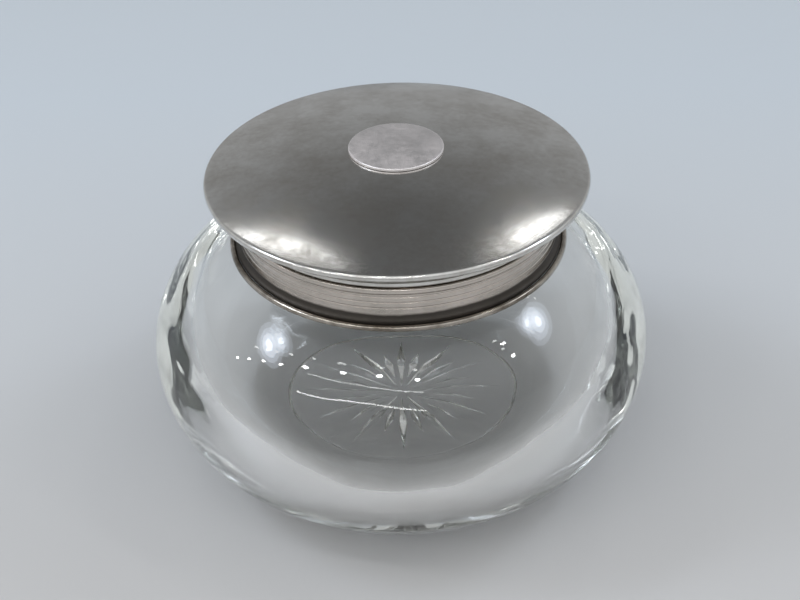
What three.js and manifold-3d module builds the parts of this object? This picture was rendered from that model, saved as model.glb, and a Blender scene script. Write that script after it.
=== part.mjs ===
// A squat globular glass ink bottle with a silver mount: a spun collar bedded on the glass neck and an
// overhanging domed lid, joined at the back by a hinge of five knuckles on one pin.
//
// Millimetres, +Z up. The origin is the middle of the base, on the surface that the bottle stands on.
// The front is -Y and the hinge is at +Y, under the lid's overhang.

import * as THREE from "three";
import { mergeVertices } from "three/addons/utils/BufferGeometryUtils.js";
import Module from "manifold-3d";

const wasm = await Module();
wasm.setup();

// ---- Driving dimensions ----

// Glass outside.
const GLASS_R = 50.5; // greatest radius
const EQUATOR_Z = 26; // height of the greatest radius
const SHOULDER_Z = 51.4; // height of the shoulder's crown
const SHOULDER_ARC_R = 18; // radius at which the shoulder's arc is centred
const BASE_R = 30; // outer radius of the flat ring that it stands on
const BASE_ARC_R = 16; // radius at which the lower arc is centred
const NECK_R = 26.9; // outer radius of the neck
const NECK_H = 6.9; // height of the neck above the shoulder's crown
const NECK_WALL = 5.4; // thickness of the neck
const LIP_ROUND = 1.2; // rounding of the lip's two edges

// Glass inside.
const CAVITY_R = 44; // greatest radius of the ink space
const CAVITY_Z = 28.5; // height of that radius
const CAVITY_FLOOR_Z = 9; // thickness of the glass under the ink
const CAVITY_FLOOR_R = 29; // radius of the flat part of the floor
const CAVITY_TOP_DROP = 4.4; // from the shoulder's crown down to where the ink space has closed in

// Star cut into the base, inside a shallow recess.
const RECESS_R = 26;
const RECESS_DEPTH = 0.8;
const RECESS_BEVEL = 0.8;
const STAR_RAYS = 24; // long and short rays by turns
const STAR_MARGIN = 2.7; // from the end of a long ray to the recess's bevel
const STAR_STEP = 6; // how much sooner a short ray ends
const STAR_LONG_START = 2; // inner end of a long ray
const STAR_SHORT_START = 5.5; // inner end of a short ray
const STAR_CUT_W = 1.9;
const STAR_CUT_DEPTH = 1.1;

// Silver collar.
const COLLAR_H = 5.9; // from the shoulder's crown to the parting line
const SHEET_T = 0.9; // thickness of the spun silver
const PLASTER_T = 1.9; // bedding between the neck and the collar
const PARTING_BEAD = 0.8; // how far the beads at the parting line stand out from the band
const PARTING_BEAD_H = 1.3; // height of the collar's bead
const FLARE_W = 1.0; // how far the foot of the collar spreads
const FLARE_H = 1.6; // height of that concave spread
const FOOT_WIRE_R = 0.6; // half the thickness of the wire round the foot
const BEZEL_RISE = 2.0; // how far the bezel stands above the parting line
const BEZEL_LAP = 5.3; // how far the bezel reaches down inside the collar
const LIP_COVER = 3.6; // how far the bezel's flange reaches in over the glass lip

// Lid.
const LID_OVERHANG = 5.3; // how far the lid stands out past the beads
const LID_EDGE_H = 4.9; // from the parting line to the lid's lower edge
const LID_RISE = 5.9; // from the lid's lower edge to its crown
const LID_EDGE_ROUND = 0.7; // radius of the rolled edge
const LID_BEAD_H = 1.0; // height of the bead along the foot of the lid's rim
const PLAQUE_R = 9.1;
const PLAQUE_T = 0.5;

// Hinge.
const KNUCKLES = 5; // the odd ones belong to the collar and the even ones to the lid
const HINGE_W = 20;
const KNUCKLE_R = 1.5;
const PIN_R = 0.75;
const PIN_HEAD_R = 1.1;
const PIN_HEAD_T = 0.4;
const BEARER_T = 1.7; // thickness of the bar that carries the knuckles

// Clearances.
const JOINT_GAP = 0.1; // soldered or bedded faces
const LID_GAP = 0.25; // parting line
const BEZEL_CLEAR = 0.5; // lid's rim round the bezel
const HINGE_CLEAR = 0.7; // knuckles behind the beads
const KNUCKLE_GAP = 0.2; // between neighbouring knuckles
const PIN_RUNNING = 0.06; // lid's knuckles on the pin
const PIN_TIGHT = 0.03; // collar's knuckles on the pin

// Fineness of the round shapes.
const SEGMENTS = 48;
const SMALL_SEGMENTS = 24;
const MERGE_MM = 1e-4;

// ---- Sizes that follow from them ----

const PARTING_Z = SHOULDER_Z + COLLAR_H;
const NECK_TOP_Z = SHOULDER_Z + NECK_H;
const MOUTH_R = NECK_R - NECK_WALL;
const CAVITY_TOP_Z = SHOULDER_Z - CAVITY_TOP_DROP;
const STAR_LONG = RECESS_R - RECESS_BEVEL - STAR_MARGIN;
const STAR_SHORT = STAR_LONG - STAR_STEP;

const PLASTER_IN_R = NECK_R + JOINT_GAP;
const PLASTER_OUT_R = PLASTER_IN_R + PLASTER_T;
const BEZEL_IN_R = PLASTER_OUT_R + JOINT_GAP;
const BEZEL_OUT_R = BEZEL_IN_R + SHEET_T;
const BAND_IN_R = BEZEL_OUT_R + JOINT_GAP;
const BAND_R = BAND_IN_R + SHEET_T;
const BEAD_R = BAND_R + PARTING_BEAD;
const FLARE_R = BAND_R + FLARE_W;

const LID_BOTTOM_Z = PARTING_Z + LID_GAP;
const LID_R = BEAD_R + LID_OVERHANG;
const LID_EDGE_Z = PARTING_Z + LID_EDGE_H;
const LID_TOP_Z = LID_EDGE_Z + LID_RISE;
const RIM_IN_R = BEZEL_OUT_R + BEZEL_CLEAR;
const RIM_OUT_R = RIM_IN_R + SHEET_T;

const HINGE_Y = BEAD_R + HINGE_CLEAR + KNUCKLE_R;
const HINGE_Z = PARTING_Z + LID_GAP / 2;
const KNUCKLE_PITCH = (HINGE_W + KNUCKLE_GAP) / KNUCKLES;
const KNUCKLE_L = KNUCKLE_PITCH - KNUCKLE_GAP;

// ---- Materials ----

const silver = (color, roughness) => new THREE.MeshStandardMaterial({ color, roughness, metalness: 1 });

const GLASS = new THREE.MeshStandardMaterial({
  color: 0xe9efee,
  roughness: 0.04,
  metalness: 0,
  transparent: true,
  opacity: 0.35,
});
const POLISHED = silver(0xc8c6c0, 0.18);
const BRIGHT = silver(0xdcd8d4, 0.1);
const SOLDERED = silver(0xb4b0a8, 0.35);
const PLASTER = new THREE.MeshStandardMaterial({ color: 0xe6dfd0, roughness: 0.9, metalness: 0 });

// ---- Helpers ----

const group = new THREE.Group();
group.name = "ink_bottle";

function add(name, geometry, material) {
  const mesh = new THREE.Mesh(geometry, material);
  mesh.name = name;
  group.add(mesh);
}

// A profile of [radius, height] pairs turned about +Z. It runs anticlockwise, from axis to axis.
function turned(profile, segments = SEGMENTS) {
  const points = profile.map(([r, z]) => new THREE.Vector2(r, z));
  return new THREE.LatheGeometry(points, segments).rotateX(Math.PI / 2);
}

// The same for a ring, whose profile closes on itself.
function turnedRing(profile, segments = SEGMENTS) {
  return turned([...profile, profile[0]], segments);
}

// Points along an ellipse's arc. Angles are in radians from outwards to upwards.
function arc(r, z, halfWidth, halfHeight, from, to, steps) {
  return Array.from({ length: steps + 1 }, (_, i) => {
    const angle = from + ((to - from) * i) / steps;
    return [r + halfWidth * Math.cos(angle), z + halfHeight * Math.sin(angle)];
  });
}

// The geometry as a manifold-3d solid.
function toSolid(geometry) {
  const bare = geometry.clone();
  bare.deleteAttribute("normal");
  bare.deleteAttribute("uv");
  const merged = mergeVertices(bare, MERGE_MM);
  return new wasm.Manifold(
    new wasm.Mesh({
      numProp: 3,
      vertProperties: merged.attributes.position.array,
      triVerts: new Uint32Array(merged.index.array),
    }),
  );
}

function toGeometry(solid) {
  const { vertProperties, triVerts } = solid.getMesh();
  const geometry = new THREE.BufferGeometry();
  geometry.setAttribute("position", new THREE.BufferAttribute(vertProperties, 3));
  geometry.setIndex(new THREE.BufferAttribute(triVerts, 1));
  return geometry;
}

function cut(geometry, tools) {
  const left = tools.reduce((solid, tool) => solid.subtract(toSolid(tool)), toSolid(geometry));
  return toGeometry(left);
}

// Height of the glass shoulder at a radius.
function shoulderZ(r) {
  const out = Math.max(r - SHOULDER_ARC_R, 0) / (GLASS_R - SHOULDER_ARC_R);
  return EQUATOR_Z + (SHOULDER_Z - EQUATOR_Z) * Math.sqrt(1 - out * out);
}

// ---- Glass ----

function glassBody() {
  const up = Math.PI / 2;
  const baseAngle = Math.acos((BASE_R - BASE_ARC_R) / (GLASS_R - BASE_ARC_R));
  const lowerHalf = EQUATOR_Z / Math.sin(baseAngle);
  const neckAngle = Math.acos(Math.max(NECK_R - SHOULDER_ARC_R, 0) / (GLASS_R - SHOULDER_ARC_R));
  const lipZ = NECK_TOP_Z - LIP_ROUND;
  const profile = [
    [0, RECESS_DEPTH],
    [RECESS_R - RECESS_BEVEL, RECESS_DEPTH],
    [RECESS_R, 0],
    ...arc(BASE_ARC_R, EQUATOR_Z, GLASS_R - BASE_ARC_R, lowerHalf, -baseAngle, 0, 9),
    ...arc(SHOULDER_ARC_R, EQUATOR_Z, GLASS_R - SHOULDER_ARC_R, SHOULDER_Z - EQUATOR_Z, 0, neckAngle, 9).slice(1),
    [NECK_R, shoulderZ(NECK_R)],
    ...arc(NECK_R - LIP_ROUND, lipZ, LIP_ROUND, LIP_ROUND, 0, up, 2),
    ...arc(MOUTH_R + LIP_ROUND, lipZ, LIP_ROUND, LIP_ROUND, up, 2 * up, 2),
    ...arc(MOUTH_R, CAVITY_Z, CAVITY_R - MOUTH_R, CAVITY_TOP_Z - CAVITY_Z, up, 0, 5),
    ...arc(CAVITY_FLOOR_R, CAVITY_Z, CAVITY_R - CAVITY_FLOOR_R, CAVITY_Z - CAVITY_FLOOR_Z, 0, -up, 8).slice(1),
    [0, CAVITY_FLOOR_Z],
  ];
  return turned(profile);
}

// One V-shaped cut of the star, pointed at both ends, lying along +X in the recess's roof.
function starCut(start, end) {
  const ray = new THREE.OctahedronGeometry(1);
  ray.scale((end - start) / 2, STAR_CUT_W / 2, STAR_CUT_DEPTH);
  ray.translate((start + end) / 2, 0, RECESS_DEPTH);
  return ray;
}

function starCuts() {
  return Array.from({ length: STAR_RAYS }, (_, i) => {
    const ray = i % 2 ? starCut(STAR_SHORT_START, STAR_SHORT) : starCut(STAR_LONG_START, STAR_LONG);
    return ray.rotateZ((2 * Math.PI * i) / STAR_RAYS);
  });
}

add("glass_body", cut(glassBody(), starCuts()), GLASS);

// ---- Collar ----

function neckPlaster() {
  const bottom = shoulderZ(PLASTER_IN_R) + JOINT_GAP;
  const top = NECK_TOP_Z - LIP_ROUND;
  return turnedRing([
    [PLASTER_IN_R, bottom],
    [PLASTER_OUT_R, bottom],
    [PLASTER_OUT_R, top],
    [PLASTER_IN_R, top],
  ]);
}

// The spun band: a concave foot, a plain wall and a bead along the parting line.
function collarBand() {
  const bottom = shoulderZ(BAND_IN_R) + JOINT_GAP;
  const flareTop = bottom + SHEET_T / 2 + FLARE_H;
  const beadMiddle = PARTING_Z - PARTING_BEAD_H / 2;
  const half = Math.PI / 2;
  return turnedRing([
    [BAND_IN_R, bottom],
    [FLARE_R, bottom],
    ...arc(FLARE_R, flareTop, FLARE_W, FLARE_H, 3 * half, 2 * half, 4),
    [BAND_R, PARTING_Z - PARTING_BEAD_H],
    ...arc(BEAD_R - PARTING_BEAD / 2, beadMiddle, PARTING_BEAD / 2, PARTING_BEAD_H / 2, -half, half, 4),
    [BAND_IN_R, PARTING_Z],
  ]);
}

// The round wire soldered along the collar's foot, resting on the glass.
function collarFootWire() {
  const r = FLARE_R + JOINT_GAP + FOOT_WIRE_R;
  const lean = Math.atan((shoulderZ(r - FOOT_WIRE_R) - shoulderZ(r)) / FOOT_WIRE_R);
  const z = shoulderZ(r) + (JOINT_GAP + FOOT_WIRE_R) / Math.cos(lean);
  return turnedRing(arc(r, z, FOOT_WIRE_R, FOOT_WIRE_R, 0, 2 * Math.PI, 8).slice(0, -1));
}

// An angle section: its wall stands inside the collar and rises into the lid, and its flange covers
// the plaster and the glass lip.
function collarBezel() {
  const bottom = PARTING_Z - BEZEL_LAP;
  const top = Math.max(PARTING_Z + BEZEL_RISE, NECK_TOP_Z + JOINT_GAP + SHEET_T);
  return turnedRing([
    [BEZEL_IN_R, bottom],
    [BEZEL_OUT_R, bottom],
    [BEZEL_OUT_R, top],
    [NECK_R - LIP_COVER, top],
    [NECK_R - LIP_COVER, top - SHEET_T],
    [BEZEL_IN_R, top - SHEET_T],
  ]);
}

add("neck_plaster", neckPlaster(), PLASTER);
add("collar_band", collarBand(), POLISHED);
add("collar_foot_wire", collarFootWire(), BRIGHT);
add("collar_bezel", collarBezel(), SOLDERED);

// ---- Lid ----

// The dome's outside is a spherical cap that runs smoothly into a rolled edge.
const EDGE_Z = LID_EDGE_Z + LID_EDGE_ROUND;
const EDGE_ARC_R = LID_R - LID_EDGE_ROUND;
const CAP = capThrough(LID_TOP_Z - EDGE_Z);

// The cap of the given rise that the edge's circle touches from inside.
function capThrough(rise) {
  const toEdge = rise - LID_EDGE_ROUND;
  const radius = (EDGE_ARC_R ** 2 + rise ** 2 - LID_EDGE_ROUND ** 2) / (2 * toEdge);
  return { radius, angle: Math.asin(EDGE_ARC_R / (radius - LID_EDGE_ROUND)) };
}

// Height of the dome's outside at a radius, or of a shape that lies a distance under it.
function domeZ(r, under = 0) {
  return LID_TOP_Z - CAP.radius + Math.sqrt((CAP.radius - under) ** 2 - r * r);
}

function lidDome() {
  const top = Math.PI / 2;
  const capZ = LID_TOP_Z - CAP.radius;
  const inner = CAP.radius - SHEET_T;
  const innerAngle = Math.asin((EDGE_ARC_R - LID_EDGE_ROUND / 2) / inner);
  const outer = arc(0, capZ, CAP.radius, CAP.radius, top - CAP.angle, top, 8);
  outer[outer.length - 1][0] = 0;
  const inside = arc(0, capZ, inner, inner, top, top - innerAngle, 6);
  inside[0][0] = 0;
  return turned([
    ...inside,
    ...arc(EDGE_ARC_R, EDGE_Z, LID_EDGE_ROUND, LID_EDGE_ROUND, -top, top - CAP.angle, 6),
    ...outer.slice(1),
  ]);
}

// The upright rim under the dome, which fits round the bezel and closes on the collar.
function lidRim() {
  const beadMiddle = LID_BOTTOM_Z + LID_BEAD_H / 2;
  const beadOut = (BEAD_R - RIM_OUT_R) / 2;
  const half = Math.PI / 2;
  return turnedRing([
    [RIM_IN_R, LID_BOTTOM_Z],
    ...arc(BEAD_R - beadOut, beadMiddle, beadOut, LID_BEAD_H / 2, -half, half, 4),
    [RIM_OUT_R, LID_BOTTOM_Z + LID_BEAD_H],
    [RIM_OUT_R, domeZ(RIM_OUT_R, SHEET_T + JOINT_GAP)],
    [RIM_IN_R, domeZ(RIM_IN_R, SHEET_T + JOINT_GAP)],
  ]);
}

// The plain round plaque on the crown, curved as the dome is.
function lidPlaque() {
  const lower = domeZ(PLAQUE_R) + JOINT_GAP;
  return turned([
    [0, LID_TOP_Z + JOINT_GAP],
    [PLAQUE_R / 2, domeZ(PLAQUE_R / 2) + JOINT_GAP],
    [PLAQUE_R, lower],
    [PLAQUE_R, lower + PLAQUE_T / 2],
    [PLAQUE_R - PLAQUE_T / 2, lower + PLAQUE_T],
    [PLAQUE_R / 2, domeZ(PLAQUE_R / 2) + JOINT_GAP + PLAQUE_T],
    [0, LID_TOP_Z + JOINT_GAP + PLAQUE_T],
  ]);
}

add("lid_dome", lidDome(), POLISHED);
add("lid_rim", lidRim(), POLISHED);
add("lid_plaque", lidPlaque(), BRIGHT);

// ---- Hinge ----

// A profile turned about the hinge's axis, with its start at x.
function onHinge(geometry, x) {
  return geometry.rotateY(Math.PI / 2).translate(x, HINGE_Y, HINGE_Z);
}

function knuckle(index, bore) {
  const tube = turnedRing(
    [
      [bore, 0],
      [KNUCKLE_R, 0],
      [KNUCKLE_R, KNUCKLE_L],
      [bore, KNUCKLE_L],
    ],
    SMALL_SEGMENTS,
  );
  return onHinge(tube, index * KNUCKLE_PITCH - HINGE_W / 2);
}

// A bar soldered to a round wall, over or under the knuckles. It is cut to the wall's curve.
function bearer(wallR, side) {
  const y = [wallR / 2, HINGE_Y + KNUCKLE_R / 2];
  const z = HINGE_Z + side * (KNUCKLE_R + JOINT_GAP + BEARER_T / 2);
  const bar = new THREE.BoxGeometry(HINGE_W, y[1] - y[0], BEARER_T);
  bar.translate(0, (y[0] + y[1]) / 2, z);
  const wall = turned(
    [
      [0, z - BEARER_T],
      [wallR + JOINT_GAP, z - BEARER_T],
      [wallR + JOINT_GAP, z + BEARER_T],
      [0, z + BEARER_T],
    ],
  );
  return cut(bar, [wall]);
}

function hingePin() {
  const end = HINGE_W / 2 + JOINT_GAP;
  const pin = turned(
    [
      [0, -end - PIN_HEAD_T],
      [PIN_HEAD_R, -end - PIN_HEAD_T / 2],
      [PIN_HEAD_R, -end],
      [PIN_R, -end],
      [PIN_R, end],
      [PIN_HEAD_R, end],
      [PIN_HEAD_R, end + PIN_HEAD_T / 2],
      [0, end + PIN_HEAD_T],
    ],
    SMALL_SEGMENTS,
  );
  return onHinge(pin, 0);
}

for (let index = 0; index < KNUCKLES; index++) {
  const onLid = index % 2 === 1;
  const number = Math.floor(index / 2) + 1;
  const name = `${onLid ? "lid" : "collar"}_knuckle_${number}`;
  add(name, knuckle(index, PIN_R + (onLid ? PIN_RUNNING : PIN_TIGHT)), SOLDERED);
}
add("hinge_pin", hingePin(), SOLDERED);
add("collar_hinge_bearer", bearer(BAND_R, -1), SOLDERED);
add("lid_hinge_bearer", bearer(RIM_OUT_R, 1), SOLDERED);

export default group;
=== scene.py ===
"""Finishes a silver-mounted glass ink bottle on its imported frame.

Every size is in metres and every place is in the frame's own axes: +Z up, the front at -Y and the
hinge at +Y. The bottle's body carries the glass and the collar, and the lid's body carries the lid.
"""

import logging
import math
from collections.abc import Sequence
from dataclasses import dataclass, field
from enum import Enum

import bmesh
import bpy
from mathutils import Euler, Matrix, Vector


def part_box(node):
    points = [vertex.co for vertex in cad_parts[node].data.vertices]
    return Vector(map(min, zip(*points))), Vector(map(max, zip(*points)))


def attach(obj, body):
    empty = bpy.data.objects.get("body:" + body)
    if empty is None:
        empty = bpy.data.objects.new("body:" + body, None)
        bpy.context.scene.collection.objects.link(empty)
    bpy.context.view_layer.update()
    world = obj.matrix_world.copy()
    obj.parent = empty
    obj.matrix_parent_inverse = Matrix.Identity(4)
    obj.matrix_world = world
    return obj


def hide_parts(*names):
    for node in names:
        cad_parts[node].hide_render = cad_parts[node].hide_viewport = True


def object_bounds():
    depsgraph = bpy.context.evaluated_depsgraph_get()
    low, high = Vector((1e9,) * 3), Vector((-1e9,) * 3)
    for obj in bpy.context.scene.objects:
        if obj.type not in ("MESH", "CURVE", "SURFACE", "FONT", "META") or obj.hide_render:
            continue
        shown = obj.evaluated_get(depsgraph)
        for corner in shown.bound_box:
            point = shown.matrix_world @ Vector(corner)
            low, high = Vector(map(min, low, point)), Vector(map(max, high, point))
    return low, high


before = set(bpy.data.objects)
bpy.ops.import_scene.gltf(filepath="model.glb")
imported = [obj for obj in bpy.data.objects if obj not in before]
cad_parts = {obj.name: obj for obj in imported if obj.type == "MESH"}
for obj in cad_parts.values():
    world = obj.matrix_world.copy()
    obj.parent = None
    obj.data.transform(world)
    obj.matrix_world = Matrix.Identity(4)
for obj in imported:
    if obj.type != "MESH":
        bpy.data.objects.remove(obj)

LOG = logging.getLogger("ink_bottle")
MM = 0.001
CAD_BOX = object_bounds()

LEAST_STEP = 0.005 * MM  # profile points closer than this are one point
WELD = 0.0005 * MM  # mesh points closer than this are one point
JOINT_GAP = 0.1 * MM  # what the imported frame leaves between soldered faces
SHEET = 0.9 * MM  # thickness of the silver sheet
COOL = "#E6F0FF"  # daylight from a window

Point = tuple[float, float]
Colour = tuple[float, float, float, float]


# ---------------------------------------------------------------- small helpers


def linear(code: str) -> Colour:
    """Turns an sRGB colour into the linear one that shaders take.

    Args:
        code: Six hex digits with a leading #.

    Returns:
        Red, green, blue and an alpha of 1.
    """
    parts = [int(code[i : i + 2], 16) / 255 for i in (1, 3, 5)]
    red, green, blue = (p / 12.92 if p <= 0.04045 else ((p + 0.055) / 1.055) ** 2.4 for p in parts)
    return (red, green, blue, 1.0)


def arc(centre: Point, half: Point, start: float, end: float, steps: int) -> list[Point]:
    """Samples an ellipse's arc.

    Args:
        centre: Radius and height of the ellipse's middle.
        half: Its half width and half height.
        start: First angle in degrees, from outwards to upwards.
        end: Last angle in degrees.
        steps: Number of equal steps between them.

    Returns:
        The arc's points, both ends included.
    """
    angles = (math.radians(start + (end - start) * i / steps) for i in range(steps + 1))
    return [(centre[0] + half[0] * math.cos(a), centre[1] + half[1] * math.sin(a)) for a in angles]


def run(start: Point, end: Point, steps: int) -> list[Point]:
    """Samples a straight stretch of a profile, both ends included."""
    return [
        (start[0] + (end[0] - start[0]) * i / steps, start[1] + (end[1] - start[1]) * i / steps)
        for i in range(steps + 1)
    ]


def thinned(profile: Sequence[Point], least: float = LEAST_STEP) -> list[Point]:
    """Drops points that lie on the one before them."""
    kept: list[Point] = []
    for point in profile:
        if not kept or math.dist(point, kept[-1]) > least:
            kept.append(point)
    return kept


def place(name: str, mesh: bpy.types.Mesh, sharp: float = 28.0) -> bpy.types.Object:
    """Puts a mesh in the scene as a piece at the origin.

    Args:
        name: The piece's name.
        mesh: Its mesh, with its place in its vertices.
        sharp: Edges that turn by more than this many degrees stay crisp.

    Returns:
        The new object.
    """
    mesh.name = name
    mesh.shade_smooth()
    mesh.set_sharp_from_angle(angle=math.radians(sharp))
    piece = bpy.data.objects.new(name, mesh)
    bpy.context.scene.collection.objects.link(piece)
    return piece


def mesh_of(bm: bmesh.types.BMesh, name: str) -> bpy.types.Mesh:
    """Closes a bmesh's doubles, turns its faces outwards and returns it as a mesh."""
    bmesh.ops.remove_doubles(bm, verts=bm.verts, dist=WELD)
    bmesh.ops.recalc_face_normals(bm, faces=bm.faces)
    mesh = bpy.data.meshes.new(name)
    bm.to_mesh(mesh)
    bm.free()
    return mesh


def spun(
    name: str,
    profile: Sequence[Point],
    segments: int = 192,
    closed: bool = False,
) -> bpy.types.Mesh:
    """Turns a profile about +Z.

    Args:
        name: The mesh's name.
        profile: Points of radius and height. An open profile starts and ends on the axis.
        segments: Number of steps round the axis.
        closed: Whether the profile closes on itself, as a ring's does.

    Returns:
        A closed mesh that faces outwards.
    """
    points = thinned(profile)
    if closed and math.dist(points[0], points[-1]) < LEAST_STEP:
        points.pop()
    bm = bmesh.new()
    rings: list[list[bmesh.types.BMVert]] = []
    for radius, height in points:
        if radius < WELD:
            rings.append([bm.verts.new((0.0, 0.0, height))])
            continue
        ring = []
        for i in range(segments):
            a = math.tau * i / segments
            ring.append(bm.verts.new((radius * math.cos(a), radius * math.sin(a), height)))
        rings.append(ring)
    pairs = list(zip(rings, rings[1:]))
    if closed:
        pairs.append((rings[-1], rings[0]))
    for low, high in pairs:
        for i in range(segments):
            j = (i + 1) % segments
            under = [low[i % len(low)], low[j % len(low)]]
            over = [high[j % len(high)], high[i % len(high)]]
            bm.faces.new(list(dict.fromkeys([*under, *over])))
    return mesh_of(bm, name)


def along_x(mesh: bpy.types.Mesh, centre: Vector) -> bpy.types.Mesh:
    """Lays a mesh that was turned about +Z along +X, with its middle at centre."""
    mesh.transform(Euler((0, math.pi / 2, 0)).to_matrix().to_4x4())
    for vertex in mesh.vertices:
        vertex.co += centre
    return mesh


class Body(Enum):
    """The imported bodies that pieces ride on."""

    BOTTLE = "bottle"
    LID = "lid"


def fit_out(
    piece: bpy.types.Object,
    material: bpy.types.Material,
    body: Body,
    nodes: Sequence[str],
) -> bpy.types.Object:
    """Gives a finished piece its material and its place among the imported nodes.

    Args:
        piece: The piece.
        material: What it is made of. A piece that carries materials already keeps them.
        body: The body that it moves with.
        nodes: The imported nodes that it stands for.

    Returns:
        The piece.
    """
    if not piece.data.materials:
        piece.data.materials.append(material)
    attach(piece, body.value)
    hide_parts(*nodes)
    faces = len(piece.data.polygons)
    LOG.info("%s: %d faces, on %s, for %s", piece.name, faces, body.value, ", ".join(nodes))
    return piece


# ---------------------------------------------------------------- node benches


class Bench:
    """A node tree with a short way to add and join nodes."""

    def __init__(self, tree: bpy.types.NodeTree) -> None:
        """Starts from an empty tree."""
        self.tree = tree
        tree.nodes.clear()

    def add(self, kind: str, inputs: dict | None = None, **settings: object) -> bpy.types.Node:
        """Adds one node.

        Args:
            kind: The node's type.
            inputs: Its sockets by name or number. A socket is joined and anything else is set.
            settings: The node's own settings.

        Returns:
            The node.
        """
        node = self.tree.nodes.new(kind)
        for key, value in settings.items():
            setattr(node, key, value)
        for key, value in (inputs or {}).items():
            if isinstance(value, bpy.types.NodeSocket):
                self.tree.links.new(value, node.inputs[key])
            else:
                node.inputs[key].default_value = value
        return node

    def math(self, operation: str, first: object, second: object = 0.0) -> bpy.types.NodeSocket:
        """Adds a Math node and returns its value."""
        return self.add("ShaderNodeMath", {0: first, 1: second}, operation=operation).outputs[0]

    def spread(
        self,
        value: object,
        low: float,
        high: float,
        new_low: float,
        new_high: float,
    ) -> bpy.types.NodeSocket:
        """Maps a value from one range to another, clamped, and returns it."""
        inputs = {0: value, 1: low, 2: high, 3: new_low, 4: new_high}
        return self.add("ShaderNodeMapRange", inputs).outputs[0]

    def blend(self, share: object, first: object, second: object) -> bpy.types.NodeSocket:
        """Mixes two colours by a share and returns the colour."""
        node = self.add("ShaderNodeMix", data_type="RGBA")
        share_in, first_in, second_in = (node.inputs[i] for i in (0, 6, 7))
        for socket, value in ((share_in, share), (first_in, first), (second_in, second)):
            if isinstance(value, bpy.types.NodeSocket):
                self.tree.links.new(value, socket)
            else:
                socket.default_value = value
        return node.outputs[2]

    def noise(
        self,
        here: object,
        size: float,
        detail: float = 3.0,
        roughness: float = 0.5,
    ) -> bpy.types.NodeSocket:
        """Adds noise whose lumps are about size metres across and returns its value."""
        inputs = {"Vector": here, "Scale": 1 / size, "Detail": detail, "Roughness": roughness}
        return self.add("ShaderNodeTexNoise", inputs).outputs[0]


def material_bench(name: str) -> tuple[bpy.types.Material, Bench]:
    """Makes an empty node material and the bench to fill it on."""
    material = bpy.data.materials.new(name)
    material.use_nodes = True
    return material, Bench(material.node_tree)


# ---------------------------------------------------------------- finishes


class Work(Enum):
    """How a silver surface was worked last."""

    SPUN = "spun"
    BURNISHED = "burnished"
    SOLDERED = "soldered"


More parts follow.
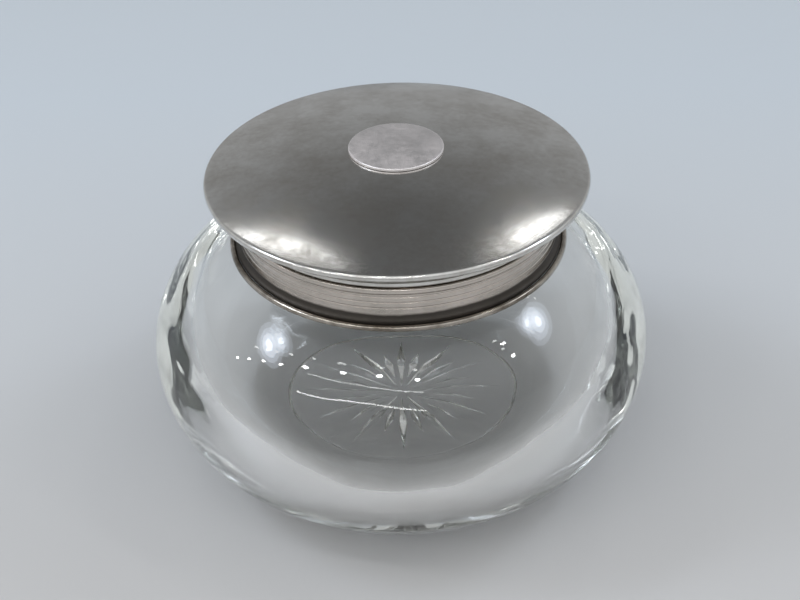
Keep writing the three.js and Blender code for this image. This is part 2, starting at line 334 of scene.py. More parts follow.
@dataclass(frozen=True)
class SterlingSilver:
    """Old sterling silver: bright metal under a thin, patchy tarnish with fine wear."""

    name: str
    work: Work
    bright: str = "#DEDDDA"
    tarnish: str = "#B2ADA5"
    tarnish_share: float = 0.35
    roughness: float = 0.16
    cloud: float = 11 * MM
    speck_share: float = 0.35
    patch_range: Point = (0.52, 0.86)
    patch_middle: float = 0.67
    scratch: float = 0.35 * MM
    solder_grain: float = 0.8 * MM
    mark_depth: float = 0.006 * MM
    # Painted shade: a near-black band between two heights on the collar's concave foot stands in
    # for the shade and the dark reflection of the lid's underside there.
    painted_shade: str = "#2A2621"
    painted_shade_share: float = 0.9
    painted_shade_ragged: float = 0.8 * MM
    painted_shade_fade: float = 0.15 * MM
    painted_shade_heights: Point | None = None

    def build(self) -> bpy.types.Material:
        """Builds the material."""
        material, bench = material_bench(self.name)
        here = bench.add("ShaderNodeTexCoord").outputs["Object"]
        clouds = bench.noise(here, self.cloud, 5.0, 0.62)
        specks = bench.noise(here, self.cloud / 9, 3.0, 0.6)
        patch = bench.math("ADD", clouds, bench.math("MULTIPLY", specks, self.speck_share))
        mask = bench.spread(patch, *self.patch_range, 0.0, 1.0)
        share = bench.math("MULTIPLY", mask, self.tarnish_share * 2)
        colour = bench.blend(share, linear(self.bright), linear(self.tarnish))
        rough = bench.spread(patch, 0.5, 0.9, self.roughness * 0.75, self.roughness * 1.5)
        # Painted shade: darkens the band between the two heights almost to black.
        if self.painted_shade_heights:
            painted_shade_band = self.painted_shade_band(bench, here, patch)
            colour = bench.blend(painted_shade_band, colour, linear(self.painted_shade))
            rough = bench.math("ADD", rough, bench.math("MULTIPLY", painted_shade_band, 0.35))
        bump = bench.add(
            "ShaderNodeBump",
            {"Height": self.marks(bench, here), "Strength": 0.35, "Distance": self.mark_depth},
        )
        shader = bench.add(
            "ShaderNodeBsdfPrincipled",
            {"Base Color": colour, "Metallic": 1.0, "Roughness": rough, "Normal": bump.outputs[0]},
        )
        bench.add("ShaderNodeOutputMaterial", {"Surface": shader.outputs[0]})
        return material

    def painted_shade_band(
        self,
        bench: Bench,
        here: bpy.types.NodeSocket,
        patch: bpy.types.NodeSocket,
    ) -> bpy.types.NodeSocket:
        """Returns how much painted shade darkens the concave foot between two heights.

        Args:
            bench: The material's bench.
            here: Object coordinates.
            patch: The tarnish's own pattern, which breaks the edge up.

        Returns:
            A share from 0 to 1.
        """
        low, high = self.painted_shade_heights
        height = bench.add("ShaderNodeSeparateXYZ", {0: here}).outputs[2]
        uneven = bench.math("SUBTRACT", patch, self.patch_middle)
        ragged = bench.math("ADD", height, bench.math("MULTIPLY", uneven, self.painted_shade_ragged))
        fade = self.painted_shade_fade
        above = bench.spread(ragged, low - fade, low + fade, 0.0, 1.0)
        below = bench.spread(ragged, high - 2 * fade, high + 0.2 * MM, 1.0, 0.0)
        return bench.math("MULTIPLY", bench.math("MULTIPLY", above, below), self.painted_shade_share)

    def marks(self, bench: Bench, here: bpy.types.NodeSocket) -> bpy.types.NodeSocket:
        """Returns the height of the marks that the last work left.

        Args:
            bench: The material's bench.
            here: Object coordinates.

        Returns:
            A height from 0 to about 1.
        """
        if self.work is Work.SOLDERED:
            return bench.noise(here, self.solder_grain, 4.0, 0.6)
        scratches = bench.add(
            "ShaderNodeMapping",
            {"Vector": here, "Rotation": (0.0, 0.0, 0.6), "Scale": (1, 0.06, 1)},
        )
        worn = bench.noise(scratches.outputs[0], self.scratch, 2.0, 0.55)
        if self.work is Work.BURNISHED:
            return worn
        parts = bench.add("ShaderNodeSeparateXYZ", {0: here}).outputs
        across = bench.add("ShaderNodeCombineXYZ", {"X": parts[0], "Y": parts[1]}).outputs[0]
        radius = bench.add("ShaderNodeVectorMath", {0: across}, operation="LENGTH").outputs["Value"]
        rings = bench.add(
            "ShaderNodeTexNoise",
            {"W": bench.math("ADD", radius, parts[2]), "Scale": 1 / self.scratch, "Detail": 2.0},
            noise_dimensions="1D",
        )
        turned = bench.math("MULTIPLY", rings.outputs[0], 0.7)
        return bench.math("ADD", turned, bench.math("MULTIPLY", worn, 0.5))


@dataclass(frozen=True)
class LeadGlass:
    """Thick clear lead glass, fire polished, with a ground and scuffed foot."""

    name: str = "lead_glass_polished"
    tint: str = "#FDFDFC"
    depth_colour: str = "#ECEEEB"
    depth_density: float = 11.0
    ior: float = 1.53
    foot_height: float = 0.25 * MM
    scuff: float = 0.7 * MM
    scuff_rough: Point = (0.04, 0.3)
    bloom: float = 22 * MM
    bloom_rough: float = 0.015
    wave: float = 16 * MM
    wave_height: float = 0.5 * MM

    def build(self) -> bpy.types.Material:
        """Builds the material."""
        material, bench = material_bench(self.name)
        here = bench.add("ShaderNodeTexCoord").outputs["Object"]
        height = bench.add("ShaderNodeSeparateXYZ", {0: here}).outputs[2]
        foot = bench.spread(height, 0.0, self.foot_height, 1.0, 0.0)
        scuffs = bench.spread(bench.noise(here, self.scuff, 4.0, 0.7), 0.45, 0.7, *self.scuff_rough)
        cloudy = bench.noise(here, self.bloom, 3.0, 0.6)
        haze = bench.spread(cloudy, 0.45, 0.8, 0.0, self.bloom_rough)
        rough = bench.math("ADD", haze, bench.math("MULTIPLY", foot, scuffs))
        waves = bench.noise(here, self.wave, 1.5, 0.4)
        bump = bench.add(
            "ShaderNodeBump",
            {"Height": waves, "Strength": 0.5, "Distance": self.wave_height},
        )
        shader = bench.add(
            "ShaderNodeBsdfPrincipled",
            {
                "Base Color": linear(self.tint),
                "Roughness": rough,
                "IOR": self.ior,
                "Transmission Weight": 1.0,
                "Normal": bump.outputs[0],
            },
        )
        depth = bench.add(
            "ShaderNodeVolumeAbsorption",
            {"Color": linear(self.depth_colour), "Density": self.depth_density},
        )
        bench.add(
            "ShaderNodeOutputMaterial",
            {"Surface": shader.outputs[0], "Volume": depth.outputs[0]},
        )
        return material


@dataclass(frozen=True)
class BeddingPlaster:
    """Plaster of Paris, chalky, a little stained by ink and age."""

    name: str = "bedding_plaster_aged"
    chalk: str = "#D9D2C2"
    stain: str = "#9B9182"
    stain_size: float = 6 * MM
    grain_size: float = 0.5 * MM
    grain_height: float = 0.08 * MM

    def build(self) -> bpy.types.Material:
        """Builds the material."""
        material, bench = material_bench(self.name)
        here = bench.add("ShaderNodeTexCoord").outputs["Object"]
        blotches = bench.noise(here, self.stain_size, 5.0, 0.65)
        stains = bench.spread(blotches, 0.45, 0.75, 0.0, 1.0)
        grain = bench.noise(here, self.grain_size, 5.0, 0.7)
        bump = bench.add(
            "ShaderNodeBump",
            {"Height": grain, "Strength": 0.6, "Distance": self.grain_height},
        )
        shader = bench.add(
            "ShaderNodeBsdfPrincipled",
            {
                "Base Color": bench.blend(stains, linear(self.chalk), linear(self.stain)),
                "Roughness": bench.spread(grain, 0.3, 0.7, 0.8, 0.95),
                "Normal": bump.outputs[0],
            },
        )
        bench.add("ShaderNodeOutputMaterial", {"Surface": shader.outputs[0]})
        return material


# ---------------------------------------------------------------- glass


@dataclass
class GlassVessel:
    """The globe of thick glass, with its ink space, its neck and the star cut in its base."""

    material: bpy.types.Material
    cut_material: bpy.types.Material
    equator: float = 26 * MM
    crown: float = 51.4 * MM
    shoulder_centre: float = 18 * MM
    base_centre: float = 16 * MM
    base: float = 30 * MM
    neck: float = 26.9 * MM
    neck_wall: float = 5.4 * MM
    lip_round: float = 1.2 * MM
    cavity: float = 44 * MM
    cavity_height: float = 28.5 * MM
    cavity_floor: float = 9 * MM
    cavity_flat: float = 29 * MM
    cavity_top: float = 47 * MM
    recess: float = 26 * MM
    recess_depth: float = 0.8 * MM
    rays: int = 12
    long_ray: Point = (2 * MM, 22.5 * MM)
    short_ray: Point = (5.5 * MM, 16.5 * MM)
    ray_width: float = 1.9 * MM
    ray_depth: float = 1.1 * MM

    def profile(self) -> list[Point]:
        """Returns the section, from the base's middle up the outside and down the inside."""
        low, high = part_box("glass_body")
        widest = high[0]
        top = high[2]
        mouth = self.neck - self.neck_wall
        lip = top - self.lip_round
        base_reach = widest - self.base_centre
        base_angle = math.degrees(math.acos((self.base - self.base_centre) / base_reach))
        lower = self.equator / math.sin(math.radians(base_angle))
        reach = widest - self.shoulder_centre
        neck_angle = math.degrees(math.acos((self.neck - self.shoulder_centre) / reach))
        shoulder = (reach, self.crown - self.equator)
        soft = 0.3 * MM
        floor = self.recess_depth
        star_end = self.recess - 2 * floor
        return [
            (0.0, low[2] + floor),
            *run((4 * MM, floor), (star_end, floor), 3),
            *arc((self.recess - floor, 0.0), (floor, floor), 90, 20, 8),
            (self.recess + soft, 0.0),
            (self.base - soft, 0.0),
            *arc((self.base_centre, self.equator), (base_reach, lower), -base_angle + 0.7, 0, 56),
            *arc((self.shoulder_centre, self.equator), shoulder, 0, neck_angle, 60),
            *run((self.neck, self.crown), (self.neck, lip), 5),
            *arc((self.neck - self.lip_round, lip), (self.lip_round, self.lip_round), 0, 90, 10),
            *arc((mouth + self.lip_round, lip), (self.lip_round, self.lip_round), 90, 180, 10),
            *run((mouth, lip - MM), (mouth, self.cavity_top + MM), 6),
            *arc(
                (mouth, self.cavity_height),
                (self.cavity - mouth, self.cavity_top - self.cavity_height),
                86,
                0,
                40,
            ),
            *arc(
                (self.cavity_flat, self.cavity_height),
                (self.cavity - self.cavity_flat, self.cavity_height - self.cavity_floor),
                0,
                -90,
                48,
            ),
            (0.0, self.cavity_floor),
        ]

    def build(self) -> bpy.types.Object:
        """Builds the glass and cuts the star."""
        vessel = place("glass_vessel", spun("glass_vessel", self.profile(), 224))
        vessel.data.materials.append(self.material)
        for span, turn in ((self.long_ray, 0.0), (self.short_ray, math.pi / self.rays)):
            cutters = StarCutters(
                self.rays, span, self.ray_width, self.ray_depth, self.recess_depth, turn
            )
            self.cut(vessel, cutters.build(self.cut_material))
        vessel.data.shade_smooth()
        vessel.data.set_sharp_from_angle(angle=math.radians(24))
        return fit_out(vessel, self.material, Body.BOTTLE, ["glass_body"])

    def cut(self, vessel: bpy.types.Object, cutters: bpy.types.Mesh) -> None:
        """Takes the cutters' shape out of the vessel.

        Args:
            vessel: The glass.
            cutters: The shapes to take away. They are used up.
        """
        tool = bpy.data.objects.new("cutters", cutters)
        bpy.context.scene.collection.objects.link(tool)
        modifier = vessel.modifiers.new("star", "BOOLEAN")
        modifier.operation = "DIFFERENCE"
        modifier.solver = "EXACT"
        modifier.object = tool
        graph = bpy.context.evaluated_depsgraph_get()
        carved = bpy.data.meshes.new_from_object(vessel.evaluated_get(graph))
        vessel.modifiers.clear()
        vessel.data = carved
        bpy.data.objects.remove(tool)


@dataclass
class StarCutters:
    """A round of V-shaped rays, pointed at both ends, made by one node tree."""

    count: int
    span: Point
    width: float
    depth: float
    roof: float
    turn: float

    def tree(self, material: bpy.types.Material) -> bpy.types.NodeTree:
        """Builds the node tree: one ray, repeated round the axis.

        Args:
            material: What the cut faces are made of.

        Returns:
            The tree, with its sizes as named inputs.
        """
        tree = bpy.data.node_groups.new("star_rays", "GeometryNodeTree")
        bench = Bench(tree)
        for name, kind in (
            ("Count", "NodeSocketInt"),
            ("Half Size", "NodeSocketVector"),
            ("Middle", "NodeSocketVector"),
            ("Step", "NodeSocketFloat"),
            ("Turn", "NodeSocketFloat"),
        ):
            tree.interface.new_socket(name, in_out="INPUT", socket_type=kind)
        tree.interface.new_socket("Geometry", in_out="OUTPUT", socket_type="NodeSocketGeometry")
        given = bench.add("NodeGroupInput").outputs
        ray = bench.add("GeometryNodeMeshUVSphere", {"Segments": 4, "Rings": 2, "Radius": 1.0})
        shaped = bench.add(
            "GeometryNodeTransform",
            {
                "Geometry": ray.outputs[0],
                "Scale": given["Half Size"],
                "Translation": given["Middle"],
            },
        )
        spots = bench.add(
            "GeometryNodeMeshLine",
            {"Count": given["Count"], "Offset": (0.0, 0.0, 0.0)},
        )
        index = bench.add("GeometryNodeInputIndex").outputs[0]
        angle = bench.math("ADD", bench.math("MULTIPLY", index, given["Step"]), given["Turn"])
        turned = bench.add("ShaderNodeCombineXYZ", {"Z": angle})
        rays = bench.add(
            "GeometryNodeInstanceOnPoints",
            {
                "Points": spots.outputs[0],
                "Instance": shaped.outputs[0],
                "Rotation": turned.outputs[0],
            },
        )
        real = bench.add("GeometryNodeRealizeInstances", {0: rays.outputs[0]})
        dressed = bench.add(
            "GeometryNodeSetMaterial",
            {"Geometry": real.outputs[0], "Material": material},
        )
        bench.add("NodeGroupOutput", {"Geometry": dressed.outputs[0]})
        return tree

    def build(self, material: bpy.types.Material) -> bpy.types.Mesh:
        """Returns the rays as one plain mesh."""
        start, end = self.span
        values = {
            "Count": self.count,
            "Half Size": ((end - start) / 2, self.width / 2, self.depth),
            "Middle": ((start + end) / 2, 0.0, self.roof),
            "Step": math.tau / self.count,
            "Turn": self.turn,
        }
        return made_real("star_rays", self.tree(material), values)


def made_real(name: str, tree: bpy.types.NodeTree, values: dict[str, object]) -> bpy.types.Mesh:
    """Runs a geometry tree on an empty mesh and returns what it makes as a plain mesh.

    Args:
        name: The mesh's name.
        tree: The tree.
        values: Its inputs by name.

    Returns:
        The mesh.
    """
    holder = bpy.data.objects.new(name, bpy.data.meshes.new(name))
    bpy.context.scene.collection.objects.link(holder)
    modifier = holder.modifiers.new(name, "NODES")
    modifier.node_group = tree
    for item in tree.interface.items_tree:
        if item.item_type == "SOCKET" and item.in_out == "INPUT":
            modifier[item.identifier] = values[item.name]
    holder.update_tag()
    graph = bpy.context.evaluated_depsgraph_get()
    mesh = bpy.data.meshes.new_from_object(holder.evaluated_get(graph))
    holder.modifiers.clear()
    bpy.data.objects.remove(holder)
    mesh.name = name
    return mesh


# ---------------------------------------------------------------- collar


@dataclass
class Collar:
    """The silver collar on the neck: band, foot wire and bezel, bedded in plaster."""

    silver: bpy.types.Material
    bright: bpy.types.Material
    inside: bpy.types.Material
    plaster: bpy.types.Material
    sheet: float = SHEET
    bead: float = 0.8 * MM
    bead_height: float = 1.3 * MM
    flare: float = 1.0 * MM
    flare_height: float = 1.6 * MM
    line_depth: float = 0.12 * MM
    line_height: float = 0.22 * MM
    edge: float = 0.15 * MM
    bezel_reach: float = 23.3 * MM
    bezel_edge: float = 0.35 * MM
    bedding_inner: float = 27.0 * MM

    def band(self) -> bpy.types.Object:
        """Builds the spun band: a concave foot, a wall with turned lines and a bead on top."""
        low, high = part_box("collar_band")
        out = high[0]
        wall = out - self.bead
        inner = wall - self.sheet
        bottom, top = low[2], high[2]
        flare_top = bottom + self.sheet / 2 + self.flare_height
        bead_low = top - self.bead_height
        foot = wall + self.flare
        edge = (self.edge, self.edge)
        half_bead = (self.bead / 2, self.bead_height / 2)
        profile = [
            *arc((inner + self.edge, bottom + self.edge), edge, 180, 270, 4),
            *arc((foot - self.edge, bottom + self.edge), edge, 270, 360, 4),
            *arc((foot, flare_top), (self.flare, self.flare_height), 268, 180, 18),
            *self.turned_lines(wall, flare_top + 0.5 * MM, bead_low - 0.3 * MM),
            (wall, bead_low),
            *arc((out - half_bead[0], top - half_bead[1]), half_bead, -80, 80, 14),
            *arc((inner + self.edge, top - self.edge), edge, 90, 180, 4),
        ]
        piece = place("collar_band_spun", spun("collar_band_spun", profile, 224, closed=True))
        return fit_out(piece, self.silver, Body.BOTTLE, ["collar_band"])

    def turned_lines(self, wall: float, low: float, high: float) -> list[Point]:
        """Returns the wall's outline with three fine turned lines in it.

        Args:
            wall: The wall's radius.
            low: Height at which the lines may start.
            high: Height at which they have ended.

        Returns:
            Points up the wall.
        """
        middle = (low + high) / 2
        points: list[Point] = [(wall, low)]
        for centre in (low + 0.5 * MM, middle, high - 0.5 * MM):
            points += arc((wall, centre), (self.line_depth, self.line_height), 270, 90, 8)
        points.append((wall, high))
        return points

    def foot_wire(self) -> bpy.types.Object:
        """Builds the round wire along the foot."""
        low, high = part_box("collar_foot_wire")
        half = (high[2] - low[2]) / 2
        centre = (high[0] - half, low[2] + half)
        name = "collar_foot_wire_drawn"
        profile = arc(centre, (half, half), 0, 360, 28)
        piece = place(name, spun(name, profile, 224, closed=True), 60)
        return fit_out(piece, self.bright, Body.BOTTLE, ["collar_foot_wire"])

    def bezel(self) -> bpy.types.Object:
        """Builds the bezel, an angle section with a softened top edge."""
        low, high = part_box("collar_bezel")
        out = high[0]
        wall = out - self.sheet
        top, bottom = high[2], low[2]
        half_sheet = self.sheet / 2
        soft = self.bezel_edge
        lip = (self.bezel_reach + half_sheet, top - half_sheet)
        profile = [
            (wall, bottom),
            (out, bottom),
            *arc((out - soft, top - soft), (soft, soft), 0, 90, 8),
            *arc(lip, (half_sheet, half_sheet), 90, 270, 12),
            (wall, top - self.sheet),
        ]
        piece = place("collar_bezel_turned", spun("collar_bezel_turned", profile, 192, closed=True))
        return fit_out(piece, self.inside, Body.BOTTLE, ["collar_bezel"])

    def bedding(self) -> bpy.types.Object:
        """Builds the plaster between the neck and the collar."""
        low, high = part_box("neck_plaster")
        neck = self.bedding_inner
        profile = [(neck, low[2]), (high[0], low[2]), (high[0], high[2]), (neck, high[2])]
        piece = place("neck_bedding", spun("neck_bedding", profile, 192, closed=True))
        return fit_out(piece, self.plaster, Body.BOTTLE, ["neck_plaster"])

    def build(self) -> list[bpy.types.Object]:
        """Builds every piece of the collar."""
        return [self.band(), self.foot_wire(), self.bezel(), self.bedding()]


# ---------------------------------------------------------------- lid


@dataclass
class Lid:
    """The overhanging lid: a spun dome on an upright rim, with a plain plaque on its crown."""

    silver: bpy.types.Material
    bright: bpy.types.Material
    sheet: float = SHEET
    edge: float = 0.7 * MM
    bead: float = 0.4 * MM
    bead_height: float = 1.0 * MM
    plaque_edge: float = 0.25 * MM

    def cap(self) -> tuple[float, float]:
        """Returns the radius of the dome's cap and the height of its centre."""
        low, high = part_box("lid_dome")
        rise = high[2] - low[2] - self.edge
        reach = high[0] - self.edge
        radius = (reach**2 + rise**2 - self.edge**2) / (2 * (rise - self.edge))
        return radius, high[2] - radius

    def dome_height(self, r: float, under: float = 0.0) -> float:
        """Returns the height at a radius of the dome's outside, or of a face under it."""
        radius, centre = self.cap()
        return centre + math.sqrt((radius - under) ** 2 - r * r)

    def dome(self) -> bpy.types.Object:
        """Builds the dome with its rolled edge."""
        low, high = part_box("lid_dome")
        radius, centre = self.cap()
        reach = high[0] - self.edge
        edge_height = low[2] + self.edge
        inner = radius - self.sheet
        tilt = math.degrees(math.asin(reach / (radius - self.edge)))
        inner_tilt = math.degrees(math.asin((reach - self.edge / 2) / inner))
        inside = arc((0.0, centre), (inner, inner), 90, 90 - inner_tilt, 48)
        outside = arc((0.0, centre), (radius, radius), 90 - tilt, 90, 72)
        profile = [
            (0.0, inside[0][1]),
            *inside[1:],
            *arc((reach, edge_height), (self.edge, self.edge), -90, 90 - tilt, 22),
            *outside[1:-1],
            (0.0, outside[-1][1]),
        ]
        piece = place("lid_dome_spun", spun("lid_dome_spun", profile, 256), 40)
        return fit_out(piece, self.silver, Body.LID, ["lid_dome"])

    def rim(self) -> bpy.types.Object:
        """Builds the upright rim with the bead along its foot."""
        low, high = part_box("lid_rim")
        out = high[0]
        wall = out - self.bead
        inner = wall - self.sheet
        bottom = low[2]
        half_bead = self.bead_height / 2
        top_out = self.dome_height(wall, self.sheet + JOINT_GAP)
        top_in = self.dome_height(inner, self.sheet + JOINT_GAP)
        profile = [
            (inner, bottom + 0.15 * MM),
            (inner + 0.15 * MM, bottom),
            *arc((wall, bottom + half_bead), (self.bead, half_bead), -80, 80, 14),
            (wall, bottom + self.bead_height + 0.05 * MM),
            *run((wall, bottom + self.bead_height + 0.3 * MM), (wall, top_out), 6),
            (inner, top_in),
        ]
        piece = place("lid_rim_spun", spun("lid_rim_spun", profile, 224, closed=True))
        return fit_out(piece, self.silver, Body.LID, ["lid_rim"])

    def plaque(self) -> bpy.types.Object:
        """Builds the plain round plaque with a softened edge."""
        low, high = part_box("lid_plaque")
        out = high[0]
        lift = self.dome_height
        thick = high[2] - low[2] - (lift(0.0) - lift(out))
        under = [(r, lift(r) + JOINT_GAP) for r in (0.0, out / 4, out / 2, out * 3 / 4, out)]
        top = JOINT_GAP + thick
        soft = self.plaque_edge
        crown = [(r, lift(r) + top) for r in (out * 0.9, out * 2 / 3, out / 3, 0.0)]
        profile = [
            *under,
            (out, lift(out) + JOINT_GAP + thick * 0.45),
            *arc((out - soft, lift(out) + top - soft), (soft, soft), 0, 85, 6),
            *crown,
        ]
        piece = place("lid_plaque_applied", spun("lid_plaque_applied", profile, 160))
        return fit_out(piece, self.bright, Body.LID, ["lid_plaque"])

    def build(self) -> list[bpy.types.Object]:
        """Builds every piece of the lid but its half of the hinge."""
        return [self.dome(), self.rim(), self.plaque()]


# ---------------------------------------------------------------- hinge


@dataclass
class Hinge:
    """Five knuckles on one pin, carried by two bars."""

    silver: bpy.types.Material
    pin_radius: float = 0.75 * MM
    soft: float = 0.22 * MM
    tight: float = 0.03 * MM
    running: float = 0.06 * MM
    peened: float = 0.4 * MM
    filed: float = 0.25 * MM
    collar_wall: float = 31.0 * MM
    lid_wall: float = 31.4 * MM

    def knuckle_tree(self) -> bpy.types.NodeTree:
        """Builds the node tree of a row of tubes along +X."""
        tree = bpy.data.node_groups.new("knuckle_row", "GeometryNodeTree")
        bench = Bench(tree)
        for name, kind in (
            ("Count", "NodeSocketInt"),
            ("Start", "NodeSocketVector"),
            ("Pitch", "NodeSocketVector"),
            ("Radius", "NodeSocketFloat"),
            ("Bore", "NodeSocketFloat"),
            ("Length", "NodeSocketFloat"),
            ("Softening", "NodeSocketFloat"),
        ):
            tree.interface.new_socket(name, in_out="INPUT", socket_type=kind)
        tree.interface.new_socket("Geometry", in_out="OUTPUT", socket_type="NodeSocketGeometry")
        given = bench.add("NodeGroupInput").outputs
        middle = bench.math("MULTIPLY", bench.math("ADD", given["Radius"], given["Bore"]), 0.5)
        wall = bench.math("SUBTRACT", given["Radius"], given["Bore"])
        path = bench.add("GeometryNodeCurvePrimitiveCircle", {"Resolution": 48, "Radius": middle})
        section = bench.add(
            "GeometryNodeCurvePrimitiveQuadrilateral",
            {"Width": wall, "Height": given["Length"]},
        )
        rounded = bench.add(
            "GeometryNodeFilletCurve",
            {"Curve": section.outputs[0], "Radius": given["Softening"], "Count": 5},
            mode="POLY",
        )
        tube = bench.add(
            "GeometryNodeCurveToMesh",
            {"Curve": path.outputs[0], "Profile Curve": rounded.outputs[0]},
        )
        lying = bench.add(
            "GeometryNodeTransform",
            {"Geometry": tube.outputs[0], "Rotation": (0.0, math.pi / 2, 0.0)},
        )
        spots = bench.add(
            "GeometryNodeMeshLine",
            {"Count": given["Count"], "Start Location": given["Start"], "Offset": given["Pitch"]},
        )
        row = bench.add(
            "GeometryNodeInstanceOnPoints",
            {"Points": spots.outputs[0], "Instance": lying.outputs[0]},
        )
        real = bench.add("GeometryNodeRealizeInstances", {0: row.outputs[0]})
        dressed = bench.add(
            "GeometryNodeSetMaterial",
            {"Geometry": real.outputs[0], "Material": self.silver},
        )
        bench.add("NodeGroupOutput", {"Geometry": dressed.outputs[0]})
        return tree

    def knuckles(
        self,
        tree: bpy.types.NodeTree,
        name: str,
        nodes: Sequence[str],
        body: Body,
        play: float,
    ) -> None:
        """Builds the knuckles of one body.

        Args:
            tree: The row's node tree.
            name: The piece's name.
            nodes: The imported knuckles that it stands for, from -X to +X.
            body: The body that they belong to.
            play: Their clearance on the pin.
        """
        boxes = [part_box(node) for node in nodes]
        middles = [(Vector(low) + Vector(high)) / 2 for low, high in boxes]
        low, high = boxes[0]
        values = {
            "Count": len(nodes),
            "Start": middles[0],
            "Pitch": middles[1] - middles[0],
            "Radius": (high[2] - low[2]) / 2,
            "Bore": self.pin_radius + play,
            "Length": high[0] - low[0],
            "Softening": self.soft,
        }
        mesh = made_real(name, tree, values)
        bm = bmesh.new()
        bm.from_mesh(mesh)
        materials = list(mesh.materials)
        clean = mesh_of(bm, name)
        for material in materials:
            clean.materials.append(material)
        fit_out(place(name, clean, 40), self.silver, body, nodes)

    def pin(self) -> bpy.types.Object:
        """Builds the pin with its two peened ends."""
        low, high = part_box("hinge_pin")
        centre = (Vector(low) + Vector(high)) / 2
        half = (high[0] - low[0]) / 2
        head = (high[2] - low[2]) / 2
        shank = half - self.peened
        cap = arc((0.0, shank), (head, self.peened), 0, 90, 8)[:-1]
        upper = [*run((self.pin_radius, 0.0), (self.pin_radius, shank), 6), *cap, (0.0, half)]
        lower = [(r, -z) for r, z in reversed(upper)]
        name = "hinge_pin_peened"
        piece = place(name, along_x(spun(name, [*lower, *upper[1:]], 40), centre), 40)
        return fit_out(piece, self.silver, Body.BOTTLE, ["hinge_pin"])

    def bearer(self, node: str, wall: float, body: Body) -> bpy.types.Object:
        """Builds one bar, shaped to the round wall that it is soldered to.

        Args:
            node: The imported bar.
            wall: Radius of that wall.
            body: The body that it belongs to.

        Returns:
            The piece.
        """
        low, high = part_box(node)
        half = high[0]
        hug = math.asin(half / wall)
        steps = 24
        angles = (-hug + 2 * hug * i / steps for i in range(steps + 1))
        inner = [(wall * math.sin(a), wall * math.cos(a)) for a in angles]
        outline = [*inner, (half, high[1]), (-half, high[1])]
        bm = bmesh.new()
        face = bm.faces.new([bm.verts.new((x, y, low[2])) for x, y in outline])
        made = bmesh.ops.extrude_face_region(bm, geom=[face])
        for item in made["geom"]:
            if isinstance(item, bmesh.types.BMVert):
                item.co.z = high[2]
        name = f"{node}_filed"
        piece = place(name, mesh_of(bm, name))
        bevel = piece.modifiers.new("filed_edges", "BEVEL")
        bevel.width = self.filed
        bevel.segments = 3
        bevel.limit_method = "ANGLE"
        bevel.angle_limit = math.radians(40)
        return fit_out(piece, self.silver, body, [node])

    def build(self) -> None:
        """Builds the whole hinge."""
        tree = self.knuckle_tree()
        of_collar = ["collar_knuckle_1", "collar_knuckle_2", "collar_knuckle_3"]
        of_lid = ["lid_knuckle_1", "lid_knuckle_2"]
        self.knuckles(tree, "collar_knuckles", of_collar, Body.BOTTLE, self.tight)
        self.knuckles(tree, "lid_knuckles", of_lid, Body.LID, self.running)
        self.pin()
        self.bearer("collar_hinge_bearer", self.collar_wall, Body.BOTTLE)
        self.bearer("lid_hinge_bearer", self.lid_wall, Body.LID)


# ---------------------------------------------------------------- studio


@dataclass(frozen=True)
class Softbox:
    """A flat lamp that faces the bottle, in layers that make its edge soft."""

    name: str
    azimuth: float
    elevation: float
    size: Point
    power: float
    distance: float = 0.7
    roll: float = 0.0
    round: bool = False
    layers: int = 1
    hue: str = "#FFFFFF"

    def build(self, target: Vector) -> None:
        """Hangs the lamp.

        Args:
            target: The point that it faces.
        """
        turn, rise = math.radians(self.azimuth), math.radians(self.elevation)
        flat = math.cos(rise)
        way = Vector((math.sin(turn) * flat, math.cos(turn) * flat, math.sin(rise)))
        roll = Euler((0, 0, math.radians(self.roll))).to_quaternion()
        look = (-way).to_track_quat("-Z", "Y") @ roll
        for layer in range(self.layers):
            share = (layer + 1) / self.layers
            lamp = bpy.data.lights.new(f"{self.name}_{layer + 1}", "AREA")
            lamp.shape = "ELLIPSE" if self.round else "RECTANGLE"
            lamp.size, lamp.size_y = self.size[0] * share, self.size[1] * share
            lamp.energy = self.power * share / self.layers
            lamp.color = linear(self.hue)[:3]
            holder = bpy.data.objects.new(lamp.name, lamp)
            holder.location = target + way * (self.distance + layer * MM)
            holder.rotation_euler = look.to_euler()
            bpy.context.scene.collection.objects.link(holder)


@dataclass(frozen=True)
class LampRail:
    """A straight rail of small round lamps, which put points of light on the glass."""

    name: str
    start: Vector
    end: Vector
    count: int
    radius: float = 15 * MM
    power: float = 0.3

    def build(self, target: Vector) -> None:
        """Hangs the lamps.

        Args:
            target: The point that the rail's places are measured from.
        """
        for i in range(self.count):
            lamp = bpy.data.lights.new(f"{self.name}_{i + 1}", "POINT")
            lamp.shadow_soft_size = self.radius
            lamp.energy = self.power
            holder = bpy.data.objects.new(lamp.name, lamp)
            holder.location = target + self.start.lerp(self.end, i / (self.count - 1))
            bpy.context.scene.collection.objects.link(holder)


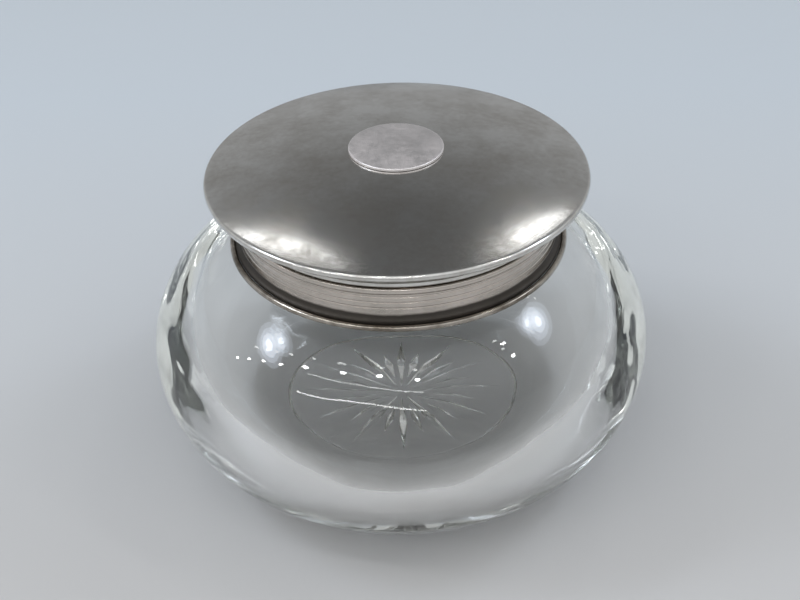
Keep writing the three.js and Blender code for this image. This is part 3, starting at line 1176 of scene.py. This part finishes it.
@dataclass
class Studio:
    """The pale table, the sky of soft light, the lamps and the camera."""

    camera_distance: float = 268.98 * MM
    camera_elevation: float = 36.06
    aim_height: float = 30 * MM
    aim_lift: float = 0.4
    camera_roll: float = 1.49
    lens: float = 58.5
    table_size: float = 6.0
    table_drop: float = 0.05 * MM
    # Painted light: the table turns from neutral at the front to bluer and a little lighter at the
    # back, a painted cast of cool light.
    table_near: str = "#D3D2D1"
    table_far: str = "#D2DAE1"
    table_fade: Point = (-0.06, 0.16)
    table_roughness: float = 0.35
    glass_turns: int = 28
    wall_elevation: float = 56.0
    wall_edge: float = 0.5
    wall_core: float = 0.99
    wall_light: float = 0.12
    sky_green: float = 1.02
    sky_blue: float = 1.04
    low_light: float = 0.42
    high_light: float = 1.05
    softboxes: tuple[Softbox, ...] = (
        Softbox("lamp_back_left", -28.2, 50, (0.026, 0.36), 0.1, roll=24, round=True, layers=3),
        Softbox("lamp_back_right", 29.6, 47, (0.026, 0.3), 0.085, roll=-9, round=True, layers=3),
        Softbox("lamp_left", -88, 46, (0.36, 0.15), 1.3, roll=-20, round=True, layers=4, hue=COOL),
        Softbox("lamp_right", 75, 46, (0.34, 0.13), 0.9, roll=20, round=True, layers=4, hue=COOL),
        Softbox("lamp_strip", -158, 43, (0.8, 0.014), 0.5, distance=0.85),
    )
    rails: tuple[LampRail, ...] = (
        LampRail("spot_left", Vector((-1.02, 0.0, 0.56)), Vector((0.06, -0.33, 0.62)), 8),
        LampRail("spot_right", Vector((0.27, 0.08, 0.62)), Vector((0.52, -0.13, 0.62)), 3),
    )

    def sky(self) -> None:
        """Makes the soft light that comes from all round, with a dim wall behind the bottle."""
        world = bpy.data.worlds.new("soft_sky")
        world.use_nodes = True
        bench = Bench(world.node_tree)
        way = bench.add("ShaderNodeTexCoord").outputs["Generated"]
        height = bench.add("ShaderNodeSeparateXYZ", {0: way}).outputs[2]
        rise = math.radians(self.wall_elevation)
        wall = bench.add(
            "ShaderNodeVectorMath",
            {0: way, 1: (0.0, math.cos(rise), math.sin(rise))},
            operation="DOT_PRODUCT",
        )
        near = bench.spread(wall.outputs["Value"], self.wall_edge, self.wall_core, 0.0, 1.0)
        open_sky = bench.spread(height, 0.0, 1.0, self.low_light, self.high_light)
        level = bench.math(
            "ADD",
            bench.math("MULTIPLY", open_sky, bench.math("SUBTRACT", 1.0, near)),
            bench.math("MULTIPLY", near, self.wall_light),
        )
        green = bench.math("MULTIPLY", level, self.sky_green)
        blue = bench.math("MULTIPLY", level, self.sky_blue)
        colour = bench.add("ShaderNodeCombineColor", {0: level, 1: green, 2: blue})
        glow = bench.add("ShaderNodeBackground", {"Color": colour.outputs[0], "Strength": 1.0})
        bench.add("ShaderNodeOutputWorld", {"Surface": glow.outputs[0]})
        bpy.context.scene.world = world

    def table(self) -> bpy.types.Object:
        """Builds the pale table top, whose colour turns bluer towards the back as painted light."""
        material, bench = material_bench("pale_table")
        here = bench.add("ShaderNodeTexCoord").outputs["Object"]
        depth = bench.add("ShaderNodeSeparateXYZ", {0: here}).outputs[1]
        # Painted light: blends towards the bluer colour at the back.
        share = bench.spread(depth, *self.table_fade, 0.0, 1.0)
        colour = bench.blend(share, linear(self.table_near), linear(self.table_far))
        shader = bench.add(
            "ShaderNodeBsdfPrincipled",
            {"Base Color": colour, "Roughness": self.table_roughness},
        )
        bench.add("ShaderNodeOutputMaterial", {"Surface": shader.outputs[0]})
        half = self.table_size / 2
        mesh = bpy.data.meshes.new("table_top")
        ends = ((-half, -half), (half, -half), (half, half), (-half, half))
        mesh.from_pydata([(x, y, -self.table_drop) for x, y in ends], [], [(0, 1, 2, 3)])
        mesh.materials.append(material)
        table = bpy.data.objects.new("table_top", mesh)
        bpy.context.scene.collection.objects.link(table)
        return table

    def camera(self) -> None:
        """Sets the camera up in front of the bottle, looking down at it."""
        data = bpy.data.cameras.new("camera")
        data.lens = self.lens
        data.clip_start = 5 * MM
        holder = bpy.data.objects.new("camera", data)
        rise = math.radians(self.camera_elevation)
        back = self.camera_distance
        holder.location = (0.0, -back * math.cos(rise), self.aim_height + back * math.sin(rise))
        tip = math.radians(90 - self.camera_elevation + self.aim_lift)
        level = Euler((tip, 0, 0)).to_quaternion()
        roll = Euler((0, 0, -math.radians(self.camera_roll))).to_quaternion()
        holder.rotation_euler = (level @ roll).to_euler()
        bpy.context.scene.collection.objects.link(holder)
        bpy.context.scene.camera = holder

    def paths(self) -> None:
        """Lets light turn often enough to get out of the thick glass."""
        cycles = bpy.context.scene.cycles
        cycles.max_bounces = self.glass_turns
        cycles.transmission_bounces = self.glass_turns
        cycles.glossy_bounces = self.glass_turns

    def build(self) -> None:
        """Builds everything round the bottle."""
        self.sky()
        self.table()
        target = Vector((0.0, 0.0, CAD_BOX[1][2]))
        for lamp in (*self.softboxes, *self.rails):
            lamp.build(target)
        self.camera()
        bpy.context.scene.view_settings.view_transform = "Standard"
        self.paths()


# ---------------------------------------------------------------- the whole bottle


@dataclass
class InkBottle:
    """The whole bottle, from its finishes to its pieces."""

    spun_silver: SterlingSilver = SterlingSilver("sterling_silver_spun", Work.SPUN)
    # The foot wire's silver: its colours are darkened, partly tarnish and partly painted shade
    # under the collar's foot.
    burnished_silver: SterlingSilver = SterlingSilver(
        "sterling_silver_burnished",
        Work.BURNISHED,
        bright="#BDB6AD",
        tarnish="#6E665C",
        tarnish_share=0.55,
        roughness=0.16,
    )
    soldered_silver: SterlingSilver = SterlingSilver(
        "sterling_silver_soldered",
        Work.SOLDERED,
        bright="#D2CEC6",
        tarnish="#8E857A",
        tarnish_share=0.5,
        roughness=0.3,
    )
    collar_silver: SterlingSilver = SterlingSilver(
        "sterling_silver_spun_collar",
        Work.SPUN,
        bright="#D2C9C1",
        roughness=0.2,
        # Heights of the painted shade and painted dark reflection on the concave foot.
        painted_shade_heights=(49.2 * MM, 51.5 * MM),
    )
    frosted_silver: SterlingSilver = SterlingSilver(
        "sterling_silver_frosted",
        Work.SOLDERED,
        bright="#F3EFEE",
        tarnish="#CFC6C4",
        tarnish_share=0.2,
        roughness=0.46,
    )
    glass: LeadGlass = field(default_factory=LeadGlass)
    plaster: BeddingPlaster = field(default_factory=BeddingPlaster)

    def build(self) -> None:
        """Builds the pieces in the order in which the real one is put together."""
        silver = self.spun_silver.build()
        bright = self.burnished_silver.build()
        inside = self.soldered_silver.build()
        glass = self.glass.build()
        GlassVessel(glass, glass).build()
        Collar(self.collar_silver.build(), bright, inside, self.plaster.build()).build()
        Lid(silver, self.frosted_silver.build()).build()
        Hinge(inside).build()


def main() -> None:
    """Builds the studio and the bottle."""
    logging.basicConfig(level=logging.INFO, format="%(message)s")
    Studio().build()
    InkBottle().build()


if __name__ == "__main__":
    main()
